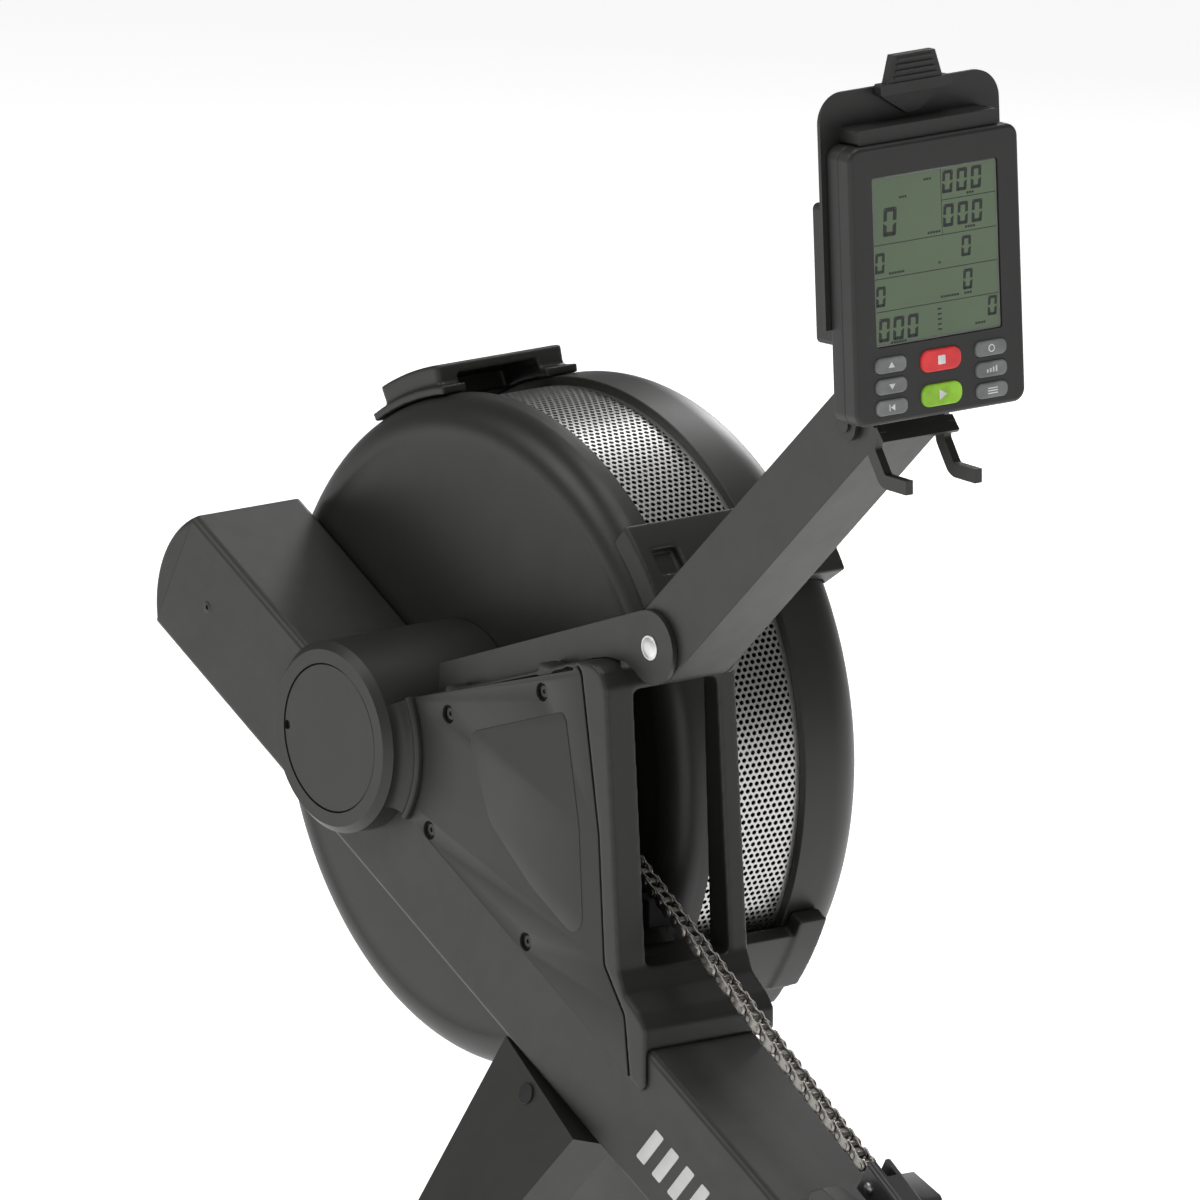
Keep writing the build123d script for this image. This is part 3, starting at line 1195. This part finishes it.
REAR_FOOT_X = LENGTH - FRONT_REACH - FOOT_Z
with BuildPart() as rear_leg:
    with BuildSketch(side(22)):
        add(
            outline(
                (REAR_FOOT_X - 78, RAIL_LOW - 0.2), (REAR_FOOT_X - 18, RAIL_LOW - 0.2),
                (REAR_FOOT_X + 16, FOOT_DROP), (REAR_FOOT_X - 16, FOOT_DROP),
            )
        )
    extrude(amount=44)
    with BuildSketch(side(19.5)):
        add(
            outline(
                (REAR_FOOT_X - 76, RAIL_LOW + 6), (REAR_FOOT_X - 18, RAIL_LOW + 6),
                (REAR_FOOT_X + 13, FOOT_DROP), (REAR_FOOT_X - 13, FOOT_DROP),
            )
        )
    extrude(amount=39, mode=Mode.SUBTRACT)
    # ears that clasp the rail's web
    for ear_right in (RAIL_BODY / 2 + 4.2, -RAIL_BODY / 2 - 0.2):
        with BuildSketch(side(ear_right)):
            with Locations((REAR_FOOT_X - 48, RAIL_LOW + 12)):
                Rectangle(64, 48)
        extrude(amount=4)
    with BuildSketch(side(RAIL_BODY / 2 + 2)):
        with Locations((REAR_FOOT_X - 48, RAIL_LOW - 6)):
            Rectangle(60, 10)
    extrude(amount=RAIL_BODY + 4)
    with BuildSketch(side(REAR_HALF_WIDTH - 10)):
        with Locations((REAR_FOOT_X, FOOT_DROP)):
            Circle(FOOT_TUBE_R)
    extrude(amount=2 * REAR_HALF_WIDTH - 20)
    with BuildSketch(side(REAR_HALF_WIDTH - 10)):
        with Locations((REAR_FOOT_X, FOOT_DROP)):
            Circle(FOOT_TUBE_R - 2.5)
    extrude(amount=2 * REAR_HALF_WIDTH - 20, mode=Mode.SUBTRACT)
rear_leg.part.label = "rear_leg"
export_step(rear_leg.part, "parts/rear_leg.step")

CAP_LENGTH = 38.0
CAP_WALL = 9.0
with BuildPart() as foot_end_caps:
    for foot_x, half_width in ((FOOT_X, FOOT_HALF_WIDTH), (REAR_FOOT_X, REAR_HALF_WIDTH)):
        for cap_right, wall in ((half_width, CAP_WALL), (CAP_LENGTH - half_width, 0)):
            with BuildSketch(side(cap_right)):
                with Locations((foot_x, FOOT_DROP)):
                    RectangleRounded(2 * FOOT_Z, 2 * FOOT_Z, 14)
            extrude(amount=CAP_LENGTH)
            with BuildSketch(side(cap_right - wall)):
                with Locations((foot_x, FOOT_DROP)):
                    Circle(FOOT_TUBE_R + 0.1)
            extrude(amount=CAP_LENGTH - CAP_WALL, mode=Mode.SUBTRACT)
foot_end_caps.part.label = "foot_end_caps"
export_step(foot_end_caps.part, "parts/foot_end_caps.step")

with BuildPart() as frame_bolts:
    for sign in (-1, 1):
        head_y = sign * (BRACKET_Y + BRACKET_THICK + 0.1)
        with BuildSketch(side(head_y)):
            with Locations(*BRACKET_BOLTS):
                RegularPolygon(7, 6)
        extrude(amount=-sign * 5)
        with BuildSketch(side(head_y)):
            with Locations(*BRACKET_BOLTS):
                Circle(BOLT_R - 0.02)
        extrude(amount=sign * 12)
        leg_bolt_at = (LEG_BOLT[0], -sign * LEG_BOLT[1] / cos(splay))
        with BuildSketch(leg_face(sign, -0.1)):
            with Locations(leg_bolt_at):
                Circle(7)
        extrude(amount=1.5)
        with BuildSketch(leg_face(sign, -0.1)):
            with Locations(leg_bolt_at):
                Circle(BOLT_R - 0.02)
        extrude(amount=-12)
frame_bolts.part.label = "frame_bolts"
export_step(frame_bolts.part, "parts/frame_bolts.step")

# ---- foot plates -----------------------------------------------------------------------
with BuildPart() as footplates:
    for sign in (-1, 1):
        with BuildSketch(foot_plane(sign * PLATE_Y, -PLATE_THICK)):
            RectangleRounded(PLATE_LENGTH, PLATE_WIDTH, 18)
        extrude(amount=PLATE_THICK)
    for rod in (FRONT_ROD, REAR_ROD):
        with BuildSketch(side(PLATE_Y + 40)):
            with Locations(rod):
                Circle(ROD_R)
        extrude(amount=2 * PLATE_Y + 80)
        for sign in (-1, 1):
            with BuildSketch(side(sign * PLATE_Y + 15)):
                with Locations(Location((rod[0], rod[1]), 90 - PLATE_SLOPE)):
                    with Locations((6, 0)):
                        Rectangle(12, 22)
            extrude(amount=30)
footplates.part.label = "footplates"
export_step(footplates.part, "parts/footplates.step")

STRAP_AT = 52.0
STRAP_WIDTH = 38.0
STRAP_HALF = PLATE_WIDTH / 2 + 3.5
STRAP_HEIGHT = 58.0
STRAP_THICK = 2.4
with BuildPart() as foot_straps:
    for sign in (-1, 1):
        strap_start = foot_plane(sign * PLATE_Y, 0)
        along = strap_start.x_dir
        section = Plane(
            origin=strap_start.origin + along * (STRAP_AT - STRAP_WIDTH / 2),
            x_dir=(0, 1, 0),
            z_dir=(-along.X, 0, -along.Z),
        )
        with BuildSketch(section):
            with BuildLine():
                ThreePointArc((-STRAP_HALF, -2), (0, STRAP_HEIGHT), (STRAP_HALF, -2))
                Line((STRAP_HALF, -2), (STRAP_HALF - STRAP_THICK, -2))
                ThreePointArc(
                    (STRAP_HALF - STRAP_THICK, -2), (0, STRAP_HEIGHT - STRAP_THICK),
                    (STRAP_THICK - STRAP_HALF, -2),
                )
                Line((STRAP_THICK - STRAP_HALF, -2), (-STRAP_HALF, -2))
            make_face()
        extrude(amount=-STRAP_WIDTH)
foot_straps.part.label = "foot_straps"
export_step(foot_straps.part, "parts/foot_straps.step")

HEEL_WIDTH = 88.0
HEEL_LENGTH = 120.0
for heel_name, sign in (("left_heel_cup", -1), ("right_heel_cup", 1)):
    with BuildPart() as heel_cup:
        with BuildSketch(foot_plane(sign * PLATE_Y, 0.3)):
            with Locations((-50, 0)):
                RectangleRounded(HEEL_LENGTH, HEEL_WIDTH, 20)
        extrude(amount=5)
        # raised wall around the heel
        with BuildSketch(foot_plane(sign * PLATE_Y, 0.3)):
            with Locations((-50, 0)):
                RectangleRounded(HEEL_LENGTH, HEEL_WIDTH, 20)
                RectangleRounded(HEEL_LENGTH - 8, HEEL_WIDTH - 8, 16, mode=Mode.SUBTRACT)
            with Locations((-20, 0)):
                Rectangle(110, HEEL_WIDTH + 2, mode=Mode.SUBTRACT)
        extrude(amount=48)
    heel_cup.part.label = heel_name
    export_step(heel_cup.part, f"parts/{heel_name}.step")

# ---- seat ------------------------------------------------------------------------------
SEAT_X = AXLE_X + SEAT_AT
DECK_Z = RAIL_TOP + 2 * ROLLER_R + 5
CARRIAGE_LENGTH = 220.0
SIDE_Y = RAIL_FLANGE / 2 + 4
with BuildPart() as seat_carriage:
    with BuildSketch(Plane.XY.offset(DECK_Z)):
        with Locations((SEAT_X, 0)):
            Rectangle(CARRIAGE_LENGTH, 2 * SIDE_Y + 6)
    extrude(amount=4)
    for side_right in (SIDE_Y + 3, -SIDE_Y):
        with BuildSketch(side(side_right)):
            with Locations((SEAT_AT, (DECK_Z + RAIL_TOP - 16) / 2 - AXLE_Z)):
                Rectangle(CARRIAGE_LENGTH - 20, DECK_Z - RAIL_TOP + 18)
            with Locations(
                (SEAT_AT - ROLLER_SPACING / 2, RAIL_Z + ROLLER_R + 0.2),
                (SEAT_AT + ROLLER_SPACING / 2, RAIL_Z + ROLLER_R + 0.2),
            ):
                Circle(4 + RUN_GAP, mode=Mode.SUBTRACT)
        extrude(amount=3)
    # lips that keep the carriage from lifting off the rail
    for sign in (-1, 1):
        with BuildSketch(Plane.XY.offset(RAIL_TOP - 16)):
            with Locations((SEAT_X, sign * (SIDE_Y - 6))):
                Rectangle(CARRIAGE_LENGTH - 20, 14)
        extrude(amount=4)
seat_carriage.part.label = "seat_carriage"
export_step(seat_carriage.part, "parts/seat_carriage.step")

for roller_name, sign in (("front_seat_rollers", -1), ("rear_seat_rollers", 1)):
    offset_x = sign * ROLLER_SPACING / 2
    with BuildPart() as rollers:
        with BuildSketch(side(SIDE_Y + 5)):
            with Locations((SEAT_AT + offset_x, RAIL_Z + ROLLER_R + 0.2)):
                Circle(4)
        extrude(amount=2 * SIDE_Y + 10)
        for roller_right in (40.0, -22.0):
            with BuildSketch(side(roller_right)):
                with Locations((SEAT_AT + offset_x, RAIL_Z + ROLLER_R + 0.2)):
                    Circle(ROLLER_R)
            extrude(amount=18)
    rollers.part.label = roller_name
    export_step(rollers.part, f"parts/{roller_name}.step")

SEAT_WIDTH = 330.0
SEAT_LENGTH = 250.0
SEAT_THICK = 46.0
with BuildPart() as seat_pad:
    with BuildSketch(Plane.XY.offset(DECK_Z + 4.2)):
        with Locations((SEAT_X, 0)):
            RectangleRounded(SEAT_LENGTH, SEAT_WIDTH, 70)
    extrude(amount=SEAT_THICK)
    fillet(seat_pad.faces().sort_by(Axis.Z)[-1].edges(), 16)
seat_pad.part.label = "seat_pad"
export_step(seat_pad.part, "parts/seat_pad.step")

for name, value in (
    ("idler", IDLER),
    ("handle", (HANDLE_AT, HANDLE_Z)),
    ("tilt pin", TILT),
    ("beam slope", degrees(asin(-BEAM_DIR.Z))),
):
    print(name, value)
